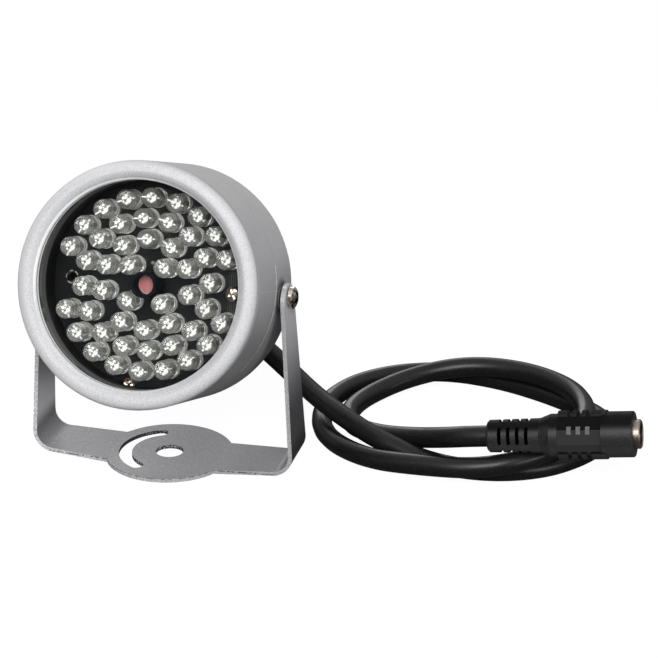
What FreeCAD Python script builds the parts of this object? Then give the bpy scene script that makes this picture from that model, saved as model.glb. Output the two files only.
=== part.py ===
import FreeCAD, Part
import math
import os

from FreeCAD import Vector as V

# Round infrared lamp on a folded bracket, with a lead that ends in a DC jack.
# Millimetres. Origin: centre of the foot's mounting hole, on its underside.
# +Z up, the lamp faces -Y, and the tilt axis runs along X.
# The lamp body's radius is the main size: the emitters, the bracket's width and the height of
# the tilt axis follow from it.

pi = math.pi

# main sizes
body_radius = 29.4
front_face = 24.6
rear_depth = 15.8
room_under_lamp = 16.1
foot_radius = 16.0
sheet = 1.0

# room between pieces
radial_gap = 0.2
thread_clearance = 0.02
edge_break = 0.25

# light sensor
sleeve_radius = 3.15
sleeve_bore = 2.45
sleeve_height = 7.4
cell_radius = 2.4
cell_thickness = 2.0
cell_recess = 4.0
cell_leg_radius = 0.3
cell_leg_spacing = 3.4

# lamp head, across
body_wall = 2.1
spacer_wall = 2.2
spacer_clearance = 1.73
lip_reach = 2.5
lip_crown_inset = 2.3
gasket_inset = 0.1
board_clearance = 0.3
seal_width = 0.8
seal_groove = 0.8
inner_radius = body_radius - body_wall
pane_radius = inner_radius - radial_gap
lip_radius = inner_radius - lip_reach
lip_crown_radius = body_radius - lip_crown_inset

# emitters, in four rings between the sensor and the spacer
emitter_height = 8.5
emitter_gap = 0.11
sleeve_gap = 0.48
ring_nesting = 0.15
emitter_room = pane_radius - spacer_wall - spacer_clearance - sleeve_radius - sleeve_gap
emitter_radius = (emitter_room - 3 * emitter_gap + ring_nesting) / 8
ring_pitch = 2 * emitter_radius + emitter_gap
inner_ring_radius = sleeve_radius + sleeve_gap + emitter_radius
third_ring_radius = inner_ring_radius + ring_pitch - ring_nesting
second_ring_radius = third_ring_radius + ring_pitch
outer_ring_radius = second_ring_radius + ring_pitch
outer_ring_step_deg = 17.2
outer_ring_half = 9
second_ring_count = 16
second_ring_first_deg = 6.0
third_ring_first_deg = -8.3
third_ring_step_deg = 33.4
third_ring_upper = 7
third_ring_lower_first_deg = 239.5
third_ring_lower = 3
inner_ring_count = 4
inner_ring_first_deg = 45.0

# lamp head, along its own axis: +Z forward, zero at the tilt axis
tilt_deg = 19.3
axis_above_pivot = 0.8
lip_thickness = 3.4
lip_inner_drop = 2.2
lip_outer_drop = 1.9
gasket_thickness = 0.5
glass_thickness = 1.8
emitter_tip_gap = 0.5
board_thickness = 1.6
lug_gap = 0.4
body_lug_height = 3.1
rear_floor = 2.2
rear_rounding = 1.5
lip_back = front_face - lip_thickness
glass_front = lip_back - gasket_thickness
glass_back = glass_front - glass_thickness
board_front = glass_back - emitter_tip_gap - emitter_height
board_back = board_front - board_thickness
seam = board_back - lug_gap - body_lug_height
rear_face = seam - rear_depth
floor_face = rear_face + rear_floor

# board screws and their posts
board_screw_radius = 1.0
board_screw_head = 1.9
board_screw_length = 6.5
board_pilot_depth = 8.0
board_post_radius = 2.8
side_post_inset = 0.35
side_post_drop = 0.6
low_screw_gap = 0.25
low_post_deg = 260.91
spacer_relief_room = 0.4
side_post_radius = outer_ring_radius - side_post_inset
low_post_circle = outer_ring_radius + emitter_radius + low_screw_gap + board_screw_head
spacer_relief = board_screw_head + spacer_relief_room

# body screws and their posts
body_screw_radius = 1.5
body_screw_head = 2.7
body_post_radius = 3.0
body_post_inset = 2.5
counterbore = 1.2
screw_tip_room = 0.7
body_screw_circle = inner_radius - body_post_inset
body_screw_length = seam + body_lug_height - screw_tip_room - rear_face - counterbore

# tilt joint
pivot_screw_radius = 1.5
pivot_screw_head = 2.7
pivot_screw_crown = 0.66
pivot_hole_clearance = 0.08
pivot_boss_radius = 2.7
pivot_boss_depth = 6.5
pivot_boss_stand = 0.2
pivot_screw_end = 1.5
pivot_spacer_radius = 2.3
pivot_spacer_length = 0.6
arm_gap = 0.1
boss_face_x = body_radius + pivot_boss_stand

# bracket
foot_hole_radius = 3.5
slot_inset = 4.9
slot_width = 3.3
slot_first_deg = 118.0
slot_last_deg = 240.0
wing_inset = 3.0
wing_rise = 1.1
wing_root_width = 18.0
wing_tip_width = 13.5
arm_tip_width = 9.2
arm_end_drop = 1.2
arm_lean_deg = 3.2
bend_inner_radius = 4.2
trim_room = 2.0
slot_radius = foot_radius - slot_inset
wing_start = foot_radius - wing_inset
pivot_height = body_radius + room_under_lamp
lean = math.radians(arm_lean_deg)
arm_inner_x = boss_face_x + pivot_spacer_length + arm_gap + pivot_spacer_radius * math.tan(lean)
arm_face_x = arm_inner_x + sheet / math.cos(lean)
bracket_width = 2 * (arm_face_x + (pivot_height - wing_rise) * math.tan(lean))
wing_angle = math.atan2(wing_rise, bracket_width / 2 - wing_start)
corner = V(bracket_width / 2, 0, wing_rise)

# small part above the sensor, and the parts on the back of the board
sensor_part_width = 2.0
sensor_part_height = 1.2
sensor_part_thickness = 0.6
sensor_part_gap = 1.35
transistor_width = 6.5
transistor_height = 3.5
transistor_thickness = 1.6
transistor_tab = 3.0
transistor_leg_width = 0.7
transistor_leg_pitch = 2.3
transistor_leg_reach = 1.7
transistor_leg_thickness = 0.4
transistor_rise = 7.0
resistor_length = 3.2
resistor_width = 1.6
resistor_thickness = 0.6
resistor_pitch = 4.5
resistor_count = 6
resistor_rise = 14.0

# lead
cord_diameter = 5.2
cord_exit_below_axis = 7.0
boot_length = 7.0
boot_collar_radius = 5.0
boot_collar_length = 1.8
boot_shoulder = 0.4
boot_tip_radius = 3.6
boot_neck_radius = 3.7
boot_flange = 1.2
boot_flange_radius = 4.6
cord_tail_depth = 5.0
lead_radius = 0.65
lead_spacing = 2.0
lead_end_spread = 4.5
lead_end_drop = 3.0
lead_straight = 3.5
tie_width = 2.0
tie_thickness = 0.9
tie_lock_width = 3.2
tie_lock_height = 2.2
cord_radius = cord_diameter / 2

# jack
jack_start = V(80.6, 2.4, 13.1)
jack_rise_deg = 7.3
jack_roll_deg = -36.0
jack_edge = 0.5
relief_start_radius = 3.95
relief_end_radius = 4.2
relief_length = 12.9
relief_first_slot = 3.3
relief_slots = 4
relief_pitch = 2.2
relief_shift = 0.15
relief_slot = 0.9
relief_slot_height = 4.1
relief_slot_floor = 2.75
relief_turn_deg = 14.0
jack_shoulder = 15.5
jack_body_radius = 5.2
jack_barrel_start = 28.1
jack_barrel_radius = 5.55
jack_length = 35.6
pad_start = 17.5
pad_end = 29.1
pad_radius = 5.95
pad_half_deg = 36.0
pad_turn_deg = 9.0
facet_half_deg = 20.0
mark_first = 20.4
mark_count = 3
mark_pitch = 2.25
mark_width = 1.15
mark_height = 2.0
mark_depth = 0.65
notch_shift = 0.05
collar_radius = 3.55
collar_bore = 2.9
collar_proud = 1.6
collar_length = 9.5
collar_step = 0.3
insulator_length = 3.0
jack_pin_radius = 1.05
jack_pin_recess = 1.2

# route of the lead, from the lamp's rear to the jack, as it lies in its loose turns
exit_straight = 9.5
on_floor = cord_radius
flex_route = [V(4.2, 31.9, 25.2), V(12.4, 35.6, 18.3), V(21.6, 32.3, 12.7)]
run_route = [V(31.2, 24.3, 9.4), V(40.2, 16.8, 7.9), V(51, 9.8, 5.7), V(64.5, 5.8, 2.7),
             V(79, 3.8, on_floor), V(92.5, 8.5, on_floor), V(101.5, 18.5, on_floor),
             V(106.2, 30, on_floor), V(104.2, 41.5, on_floor), V(96, 48.2, on_floor),
             V(85.5, 54.8, on_floor), V(73, 60.2, on_floor), V(58.5, 62.3, on_floor),
             V(44.5, 57, on_floor), V(34.5, 45.5, on_floor), V(31.5, 30, on_floor),
             V(36.5, 14, on_floor), V(49.5, 3.5, 3), V(64, -0.3, 4.6), V(79, -1.6, 5.9),
             V(91.5, 4, 7.6), V(99.5, 16, 8.2), V(101.3, 32, 8.2), V(95, 46.8, 8),
             V(81.5, 55.5, 7.9), V(65.5, 57.2, 7.3), V(51.5, 51.8, 5), V(41.6, 41.5, 2.8),
             V(38.7, 30.5, on_floor), V(42, 21.5, 2.8), V(50.5, 16.8, 3.4), V(60.5, 12.9, 5.6),
             V(69.5, 4.5, 10.5), V(75.5, 2.4, 12.45)]
split_share = 0.5


# placing

def frame_of(origin, x_axis, y_axis, z_axis):
    matrix = FreeCAD.Matrix(x_axis.x, y_axis.x, z_axis.x, origin.x,
                            x_axis.y, y_axis.y, z_axis.y, origin.y,
                            x_axis.z, y_axis.z, z_axis.z, origin.z,
                            0, 0, 0, 1)
    return FreeCAD.Placement(matrix)


tilt = math.radians(tilt_deg)
head_forward = V(0, -math.cos(tilt), math.sin(tilt))
head_up = V(0, math.sin(tilt), math.cos(tilt))
head_place = frame_of(V(0, 0, pivot_height) + head_up * axis_above_pivot, V(1, 0, 0), head_up, head_forward)

rise = math.radians(jack_rise_deg)
jack_forward = V(math.cos(rise), 0, math.sin(rise))
jack_up = V(-math.sin(rise), 0, math.cos(rise))
jack_roll = FreeCAD.Placement(V(0, 0, 0), V(0, 0, 1), jack_roll_deg)
jack_place = frame_of(jack_start, V(0, 1, 0), jack_up, jack_forward).multiply(jack_roll)


def put(shape, place):
    moved = shape.copy()
    moved.Placement = place.multiply(shape.Placement)
    return moved


def polar(radius, deg, z=0.0):
    angle = math.radians(deg)
    return V(radius * math.cos(angle), radius * math.sin(angle), z)


# basic shapes

def rod(radius, z0, z1, x=0.0, y=0.0):
    return Part.makeCylinder(radius, z1 - z0, V(x, y, z0))


def ring(inner, outer, z0, z1):
    return rod(outer, z0, z1).cut(rod(inner, z0 - 1, z1 + 1))


def block(x0, x1, y0, y1, z0, z1):
    return Part.makeBox(x1 - x0, y1 - y0, z1 - z0, V(x0, y0, z0))


def turned(points):
    """A solid turned about Z from a closed outline of (radius, z) points."""
    loop = [V(r, 0, z) for r, z in points]
    wire = Part.makePolygon(loop + [loop[0]])
    return Part.Face(wire).revolve(V(0, 0, 0), V(0, 0, 1), 360)


def fuse_all(shapes):
    body = shapes[0]
    for shape in shapes[1:]:
        body = body.fuse(shape)
    return body.removeSplitter()


def cut_all(shape, tools):
    for tool in tools:
        shape = shape.cut(tool)
    return shape


def pan_screw(radius, head_radius, length, crown_share=0.62):
    """A screw along Z with its head's underside at zero and its tip below."""
    crown = crown_share * head_radius
    rim = 0.55 * crown
    rise = Part.Arc(V(head_radius, 0, rim), V(0.72 * head_radius, 0, 0.88 * crown), V(0, 0, crown))
    side = Part.LineSegment(V(head_radius, 0, 0), V(head_radius, 0, rim))
    under = Part.LineSegment(V(0, 0, 0), V(head_radius, 0, 0))
    axis = Part.LineSegment(V(0, 0, crown), V(0, 0, 0))
    outline = Part.Wire([under.toShape(), side.toShape(), rise.toShape(), axis.toShape()])
    head = Part.Face(outline).revolve(V(0, 0, 0), V(0, 0, 1), 360)
    shank = rod(radius, -length, 0)
    chamfer = 0.4 * radius
    tip = Part.makeCone(radius - chamfer, radius, chamfer, V(0, 0, -length - chamfer))
    reach = 0.66 * head_radius
    half = 0.15 * head_radius
    bottom = 0.3 * crown
    cross = block(-reach, reach, -half, half, bottom, 2 * crown)
    cross = cross.fuse(block(-half, half, -reach, reach, bottom, 2 * crown))
    return head.fuse(shank).fuse(tip).cut(cross)


# bracket

def bracket_section():
    """The folded sheet seen from the front, wide enough to be trimmed."""
    top = pivot_height + arm_tip_width
    flat = V(wing_start, 0, 0)
    arm_top = V(corner.x - (top - corner.z) * math.tan(lean), 0, top)
    inner_flat = V(wing_start - sheet * math.tan(wing_angle / 2), 0, sheet)
    turn = pi / 2 - wing_angle + lean
    reach = sheet * math.tan(turn / 2)
    wing_dir = V(math.cos(wing_angle), 0, math.sin(wing_angle))
    wing_up = V(-wing_dir.z, 0, wing_dir.x)
    inner_corner = corner - wing_dir * reach + wing_up * sheet
    inner_top = V(arm_top.x - sheet / math.cos(lean), 0, top)
    right_out = [flat, corner, arm_top]
    right_in = [inner_top, inner_corner, inner_flat]
    mirror = [V(-p.x, 0, p.z) for p in reversed(right_out + right_in)]
    loop = right_out + right_in + mirror
    face = Part.Face(Part.makePolygon(loop + [loop[0]]))
    depth = foot_radius + trim_room
    solid = face.extrude(V(0, 2 * depth, 0))
    solid.translate(V(0, -depth, 0))
    outer = [e for e in solid.Edges if near_edge(e, corner.x, corner.z)]
    solid = solid.makeFillet(bend_inner_radius + sheet, outer)
    inner = [e for e in solid.Edges if near_edge(e, inner_corner.x, inner_corner.z)]
    return solid.makeFillet(bend_inner_radius, inner)


def near_edge(edge, x, z):
    box = edge.BoundBox
    along_y = box.YLength > 1 and box.XLength < 0.01 and box.ZLength < 0.01
    return along_y and abs(abs(box.XMin) - x) < 0.01 and abs(box.ZMin - z) < 0.01


def foot_plan(height):
    """The round foot and the two tapering wings, as a prism."""
    reach = bracket_width / 2 + trim_room
    slope = (wing_root_width - wing_tip_width) / 2 / (bracket_width / 2)
    tip = wing_tip_width / 2 - slope * trim_room
    root = wing_root_width / 2
    loop = [V(0, -root, 0), V(reach, -tip, 0), V(reach, tip, 0), V(0, root, 0),
            V(-reach, tip, 0), V(-reach, -tip, 0)]
    wings = Part.Face(Part.makePolygon(loop + [loop[0]])).extrude(V(0, 0, height))
    return wings.fuse(rod(foot_radius, 0, height))


def arm_plan(low):
    """Both arms seen from the side, tapering to a round end at the pivot."""
    half_low = wing_tip_width / 2
    half_top = arm_tip_width / 2
    end_height = pivot_height - arm_end_drop
    depth = bracket_width
    loop = [V(0, -half_low, low), V(0, half_low, low), V(0, half_top, end_height),
            V(0, -half_top, end_height)]
    sides = Part.Face(Part.makePolygon(loop + [loop[0]])).extrude(V(2 * depth, 0, 0))
    end = Part.makeCylinder(half_top, 2 * depth, V(0, 0, end_height), V(1, 0, 0))
    prism = sides.fuse(end)
    prism.translate(V(-depth, 0, 0))
    return prism


def curved_slot():
    half = slot_width / 2
    sweep = slot_last_deg - slot_first_deg
    body = Part.makeCylinder(slot_radius + half, 3 * sheet, V(0, 0, -sheet), V(0, 0, 1), sweep)
    body = body.cut(rod(slot_radius - half, -2 * sheet, 3 * sheet))
    body.rotate(V(0, 0, 0), V(0, 0, 1), slot_first_deg)
    for deg in (slot_first_deg, slot_last_deg):
        end = polar(slot_radius, deg)
        body = body.fuse(rod(half, -sheet, 2 * sheet, end.x, end.y))
    return body


def bracket():
    trim_height = corner.z + sheet + bend_inner_radius
    trims = foot_plan(trim_height).fuse(arm_plan(trim_height))
    shape = bracket_section().common(trims)
    pivot = Part.makeCylinder(pivot_screw_radius + pivot_hole_clearance, bracket_width,
                              V(-bracket_width / 2, 0, pivot_height), V(1, 0, 0))
    hole = rod(foot_hole_radius, -sheet, 2 * sheet)
    return cut_all(shape, [hole, curved_slot(), pivot]).removeSplitter()


# lamp body

def front_housing():
    outer_start = front_face - lip_outer_drop
    inner_start = front_face - lip_inner_drop
    points = [V(body_radius - edge_break, 0, seam), V(body_radius, 0, seam + edge_break),
              V(body_radius, 0, outer_start)]
    inside = [V(lip_radius, 0, inner_start), V(lip_radius, 0, lip_back),
              V(inner_radius, 0, lip_back), V(inner_radius, 0, seam), points[0]]
    crown = Part.Arc(points[-1], V(lip_crown_radius, 0, front_face), inside[0]).toShape()
    edges = [Part.LineSegment(a, b).toShape() for a, b in zip(points, points[1:])]
    edges.append(crown)
    edges += [Part.LineSegment(a, b).toShape() for a, b in zip(inside, inside[1:])]
    shell = Part.Face(Part.Wire(edges)).revolve(V(0, 0, 0), V(0, 0, 1), 360)
    lugs = []
    holes = []
    for spot in body_screw_spots():
        lug = rod(body_post_radius, seam, seam + body_lug_height, spot.x, spot.y)
        lugs.append(lug.common(rod(inner_radius + body_wall / 2, seam, board_back)))
        holes.append(rod(body_screw_radius + thread_clearance, seam - 1, board_back, spot.x, spot.y))
    middle = body_radius - body_wall / 2
    groove = ring(middle - seal_width / 2, middle + seal_width / 2, seam - 1, seam + seal_groove)
    return cut_all(fuse_all([shell] + lugs), holes + [groove])


def body_screw_spots():
    return [polar(body_screw_circle, 45 + 90 * i) for i in range(4)]


def board_post_spots():
    return [V(side_post_radius, -side_post_drop, 0), V(-side_post_radius, 0, 0),
            polar(low_post_circle, low_post_deg)]


def screwed_post_spots():
    right, left, low = board_post_spots()
    return [right, low]


def rear_cover():
    shell = rod(body_radius, rear_face, seam)
    rear_edges = [e for e in shell.Edges if e.BoundBox.ZMax < rear_face + 0.01]
    shell = shell.makeFillet(rear_rounding, rear_edges)
    front_edges = [e for e in shell.Edges if e.BoundBox.ZMin > seam - 0.01]
    shell = shell.makeChamfer(edge_break, front_edges)
    shell = shell.cut(rod(inner_radius, floor_face, seam + 1))
    added = [shell]
    holes = []
    room = rod(inner_radius + body_wall / 2, floor_face, seam).fuse(rod(pane_radius, seam, board_back))
    for spot in board_post_spots():
        post = rod(board_post_radius, floor_face, board_back, spot.x, spot.y)
        added.append(post.common(room))
        pilot = board_screw_radius + thread_clearance
        holes.append(rod(pilot, board_back - board_pilot_depth, board_back + 1, spot.x, spot.y))
    for spot in body_screw_spots():
        post = rod(body_post_radius, floor_face, seam, spot.x, spot.y)
        added.append(post.common(rod(inner_radius + body_wall / 2, floor_face, seam)))
        holes.append(rod(body_screw_radius + radial_gap, rear_face - 1, seam + 1, spot.x, spot.y))
        holes.append(rod(body_screw_head + radial_gap, rear_face - 1, rear_face + counterbore,
                         spot.x, spot.y))
    for side in (-1, 1):
        boss = Part.makeCylinder(pivot_boss_radius, pivot_boss_depth + pivot_boss_stand,
                                 V(side * boss_face_x, -axis_above_pivot, 0), V(-side, 0, 0))
        added.append(boss)
        bore = Part.makeCylinder(pivot_screw_radius + thread_clearance, pivot_boss_depth,
                                 V(side * boss_face_x, -axis_above_pivot, 0), V(-side, 0, 0))
        holes.append(bore)
    holes.append(rod(boot_neck_radius, rear_face - 1, floor_face + 1, 0, -cord_exit_below_axis))
    return cut_all(fuse_all(added), holes)


def housing_seal():
    middle = body_radius - body_wall / 2
    return ring(middle - seal_width / 2, middle + seal_width / 2, seam, seam + seal_groove)


def glass_gasket():
    return ring(lip_radius + gasket_inset, pane_radius - radial_gap, glass_front, lip_back)


def front_glass():
    return rod(pane_radius, glass_back, glass_front)


def spacer_ring():
    body = ring(pane_radius - spacer_wall, pane_radius, board_front, glass_back)
    spot = board_post_spots()[-1]
    return body.cut(rod(spacer_relief, board_front - 1, board_front + spacer_relief, spot.x, spot.y))


def led_board():
    board = rod(inner_radius - board_clearance, board_back, board_front)
    holes = []
    for spot in board_post_spots():
        hole = board_screw_radius + radial_gap
        holes.append(rod(hole, board_back - 1, board_front + 1, spot.x, spot.y))
    return cut_all(board, holes)


# emitters and parts on the board

def emitter(spot):
    shoulder = board_front + emitter_height - emitter_radius
    barrel = rod(emitter_radius, board_front, shoulder)
    dome = Part.makeSphere(emitter_radius, V(0, 0, shoulder), V(0, 0, 1), 0, 90, 360)
    shape = barrel.fuse(dome).removeSplitter()
    shape.translate(spot)
    return shape


def ring_of_emitters(radius, angles):
    return Part.makeCompound([emitter(polar(radius, deg)) for deg in angles])


def outer_angles():
    half = (outer_ring_half - 1) / 2 * outer_ring_step_deg
    return [side - half + outer_ring_step_deg * i for side in (90, 270) for i in range(outer_ring_half)]


def second_angles():
    step = 360 / second_ring_count
    return [second_ring_first_deg + step * i for i in range(second_ring_count)]


def third_angles():
    upper = [third_ring_first_deg + third_ring_step_deg * i for i in range(third_ring_upper)]
    lower = [third_ring_lower_first_deg + third_ring_step_deg * i for i in range(third_ring_lower)]
    return upper + lower


def inner_angles():
    step = 360 / inner_ring_count
    return [inner_ring_first_deg + step * i for i in range(inner_ring_count)]


def photocell_sleeve():
    return ring(sleeve_bore, sleeve_radius, board_front, board_front + sleeve_height)


def photocell():
    front = board_front + sleeve_height - cell_recess
    legs = []
    for side in (-1, 1):
        leg_x = side * cell_leg_spacing / 2
        legs.append(rod(cell_leg_radius, board_front, front - cell_thickness, leg_x))
    return fuse_all([rod(cell_radius, front - cell_thickness, front)] + legs)


def sensor_resistor():
    low_edge = sleeve_radius + sensor_part_gap
    return block(-sensor_part_width / 2, sensor_part_width / 2, low_edge, low_edge + sensor_part_height,
                 board_front, board_front + sensor_part_thickness)


def drive_transistor():
    half = transistor_width / 2
    top = transistor_height / 2
    face = board_back - transistor_leg_thickness
    body = block(-half, half, -top, top, board_back - transistor_thickness, board_back)
    legs = [block(-transistor_tab / 2, transistor_tab / 2, top, top + transistor_leg_reach,
                  face, board_back)]
    for i in (-1, 0, 1):
        x = transistor_leg_pitch * i
        legs.append(block(x - transistor_leg_width / 2, x + transistor_leg_width / 2,
                          -top - transistor_leg_reach, -top, face, board_back))
    shape = fuse_all([body] + legs)
    shape.translate(V(0, transistor_rise, 0))
    return shape


def ballast_resistors():
    half = resistor_width / 2
    tall = resistor_length / 2
    parts = []
    for i in range(resistor_count):
        x = (i - (resistor_count - 1) / 2) * resistor_pitch
        parts.append(block(x - half, x + half, resistor_rise - tall, resistor_rise + tall,
                           board_back - resistor_thickness, board_back))
    return Part.makeCompound(parts)


# fasteners

def board_screws():
    screws = []
    for spot in screwed_post_spots():
        screw = pan_screw(board_screw_radius, board_screw_head, board_screw_length)
        screw.rotate(V(0, 0, 0), V(0, 0, 1), 25 * (1 + len(screws)))
        screw.translate(V(spot.x, spot.y, board_front))
        screws.append(screw)
    return Part.makeCompound(screws)


def housing_screws():
    screws = []
    for spot in body_screw_spots():
        screw = pan_screw(body_screw_radius, body_screw_head, body_screw_length)
        screw.rotate(V(0, 0, 0), V(0, 0, 1), 33 * len(screws))
        screw.rotate(V(0, 0, 0), V(1, 0, 0), 180)
        screw.translate(V(spot.x, spot.y, rear_face + counterbore))
        screws.append(screw)
    return Part.makeCompound(screws)


def pivot_seat_x():
    """Where the head of a pivot screw starts, clear of the leaning arm."""
    return arm_face_x + pivot_screw_head * math.tan(lean) + arm_gap


def pivot_screw(side):
    seat = pivot_seat_x()
    length = seat - boss_face_x + pivot_boss_depth - pivot_screw_end
    screw = pan_screw(pivot_screw_radius, pivot_screw_head, length, pivot_screw_crown)
    screw.rotate(V(0, 0, 0), V(0, 0, 1), 30)
    screw.rotate(V(0, 0, 0), V(0, 1, 0), 90 * side)
    screw.translate(V(side * seat, -axis_above_pivot, 0))
    return screw


def pivot_spacer(side):
    start = V(side * boss_face_x, -axis_above_pivot, 0)
    along = V(side, 0, 0)
    body = Part.makeCylinder(pivot_spacer_radius, pivot_spacer_length, start, along)
    bore = pivot_screw_radius + pivot_hole_clearance
    return body.cut(Part.makeCylinder(bore, pivot_spacer_length, start, along))


# lead

def cable_boot():
    y = -cord_exit_below_axis
    tip = rear_face - boot_length
    inside = floor_face + boot_flange
    collar = rear_face - boot_collar_length
    outline = [(cord_radius, tip), (boot_tip_radius, tip),
               (boot_collar_radius - boot_shoulder, collar - boot_shoulder),
               (boot_collar_radius, collar), (boot_collar_radius, rear_face),
               (boot_neck_radius, rear_face), (boot_neck_radius, floor_face),
               (boot_flange_radius, floor_face), (boot_flange_radius, inside),
               (cord_radius, inside)]
    shape = turned(outline)
    shape.translate(V(0, y, 0))
    return shape


def cord_tail():
    y = -cord_exit_below_axis
    return rod(cord_radius, rear_face - boot_length, floor_face + cord_tail_depth, 0, y)


def cable_tie():
    near = floor_face + boot_flange
    far = near + tie_width
    outside = cord_radius + tie_thickness
    band = ring(cord_radius, outside, near, far)
    lock = block(-tie_lock_width / 2, tie_lock_width / 2, -outside - tie_lock_height,
                 tie_thickness / 2 - outside, near, far)
    shape = band.fuse(lock).removeSplitter()
    shape.translate(V(0, -cord_exit_below_axis, 0))
    return shape


def conductor(side):
    """One insulated wire from the lead's cut end to the back of the board."""
    start = V(side * lead_spacing / 2, -cord_exit_below_axis, floor_face + cord_tail_depth)
    end = V(side * lead_end_spread, -lead_end_drop, board_back)
    knee = V(start.x, start.y, start.z + lead_straight)
    elbow = V(end.x, end.y, end.z - lead_straight)
    return tube([start, knee, elbow, end], lead_radius)


def rounded_path(points):
    """Straight runs joined by arcs tangent to both, as large as the runs allow."""
    edges = []
    last = points[0]
    for before, here, after in zip(points, points[1:], points[2:]):
        into = (here - before).normalize()
        away = (after - here).normalize()
        angle = into.getAngle(away)
        back = 0.45 * min((here - before).Length, (after - here).Length)
        radius = back / math.tan(angle / 2)
        start = here - into * back
        end = here + away * back
        inward = (away - into).normalize()
        middle = here + inward * (math.hypot(radius, back) - radius)
        edges.append(Part.LineSegment(last, start).toShape())
        edges.append(Part.Arc(start, middle, end).toShape())
        last = end
        if radius < 5 * cord_diameter and here in flex_route + run_route:
            print("bend radius", round(radius, 1), "at", tuple(round(c, 1) for c in here))
    edges.append(Part.LineSegment(last, points[-1]).toShape())
    return Part.Wire(edges)


def tube(points, radius):
    path = rounded_path(points)
    first = points[0]
    section = Part.Wire([Part.makeCircle(radius, first, points[1] - first)])
    shape = path.makePipeShell([section], True, False)
    expected = pi * radius ** 2 * path.Length
    print("tube length", round(path.Length, 1), "volume share", round(shape.Volume / expected, 4))
    return shape


def cord_exit():
    return head_place.multVec(V(0, -cord_exit_below_axis, rear_face - boot_length))


def cord_split():
    """Where the part that bends with the tilt meets the part that lies still."""
    return flex_route[-1] + (run_route[0] - flex_route[-1]) * split_share


def cord_flex():
    start = cord_exit()
    return tube([start, start - head_forward * exit_straight] + flex_route + [cord_split()], cord_radius)


def cord_run():
    return tube([cord_split()] + run_route + [jack_start], cord_radius)


# jack, along its own axis from the lead's end

def jack_body():
    outline = [(0, 0), (relief_start_radius - jack_edge, 0), (relief_start_radius, jack_edge),
               (relief_end_radius, relief_length), (jack_body_radius, jack_shoulder),
               (jack_body_radius, jack_barrel_start), (jack_barrel_radius, jack_barrel_start),
               (jack_barrel_radius, jack_length - jack_edge / 2),
               (jack_barrel_radius - jack_edge / 2, jack_length), (0, jack_length)]
    body = cut_all(turned(outline), grip_facets())
    pads = []
    for deg in pad_places():
        pad = Part.makeCylinder(pad_radius, pad_end - pad_start, V(0, 0, pad_start), V(0, 0, 1),
                                2 * pad_half_deg)
        pad.rotate(V(0, 0, 0), V(0, 0, 1), deg - pad_half_deg)
        pads.append(pad)
    solid = fuse_all([body] + pads)
    socket = rod(collar_radius, jack_length - collar_length, jack_length + 1)
    return cut_all(solid, [socket] + relief_cuts() + pad_notches() + grip_marks())


def side_block(deg, near, far, half_wide, z0, z1):
    """A box that stands out from the axis between two radii, turned to an angle."""
    shape = block(near, far, -half_wide, half_wide, z0, z1)
    shape.rotate(V(0, 0, 0), V(0, 0, 1), deg)
    return shape


def relief_cuts():
    """Slots on two sides, and on the other two sides a little further on."""
    tools = []
    half = relief_slot / 2
    tall = relief_slot_height / 2
    for i in range(relief_slots):
        for quarter in range(4):
            z = relief_first_slot + relief_pitch * i + relief_shift * (quarter % 2)
            tools.append(side_block(90 * quarter + relief_turn_deg, relief_slot_floor,
                                    jack_body_radius, tall, z - half, z + half))
    return tools


def mark_places():
    return [mark_first + mark_pitch * i for i in range(mark_count)]


def grip_facets():
    """Two flat facets on each side, meeting in a ridge at the parting line."""
    distance = jack_body_radius * math.cos(math.radians(facet_half_deg))
    tools = []
    for side in (0, 180):
        for lean_deg in (-facet_half_deg, facet_half_deg):
            tools.append(side_block(side + lean_deg, distance, jack_barrel_radius + 1,
                                    jack_body_radius, pad_start, jack_barrel_start))
    return tools


def grip_marks():
    """Three small windows across the ridge on each side."""
    tools = []
    for side in (0, 180):
        for z in mark_places():
            tools.append(side_block(side, jack_body_radius - mark_depth, jack_barrel_radius,
                                    mark_height / 2, z - mark_width / 2, z + mark_width / 2))
    return tools


def pad_places():
    return [side + pad_turn_deg for side in (90, 270)]


def pad_notches():
    tools = []
    for side in pad_places():
        for z in mark_places():
            z_notch = z + notch_shift
            notch = side_block(side, 0, pad_radius + 1, pad_radius, z_notch - mark_width / 2,
                               z_notch + mark_width / 2)
            tools.append(notch.cut(rod(jack_body_radius, z_notch - 1, z_notch + 1)))
    return tools


def jack_collar():
    back = jack_length - collar_length
    front = jack_length + collar_proud
    outline = [(collar_bore, back), (collar_radius, back), (collar_radius, jack_length),
               (collar_radius, front - collar_step), (collar_radius - collar_step, front),
               (collar_bore + collar_step, front), (collar_bore, front - collar_step)]
    return turned(outline)


def jack_insulator():
    back = jack_length - collar_length
    return ring(jack_pin_radius, collar_bore, back, back + insulator_length)


def jack_pin():
    back = jack_length - collar_length
    front = jack_length + collar_proud - jack_pin_recess
    shaft = rod(jack_pin_radius, back, front - jack_pin_radius)
    nose = Part.makeSphere(jack_pin_radius, V(0, 0, front - jack_pin_radius), V(0, 0, 1), 0, 90, 360)
    return shaft.fuse(nose).removeSplitter()


def save(name, shape):
    if not shape.isValid():
        print("invalid", name)
    shape.exportStep(os.path.join("parts", name + ".step"))


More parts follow.
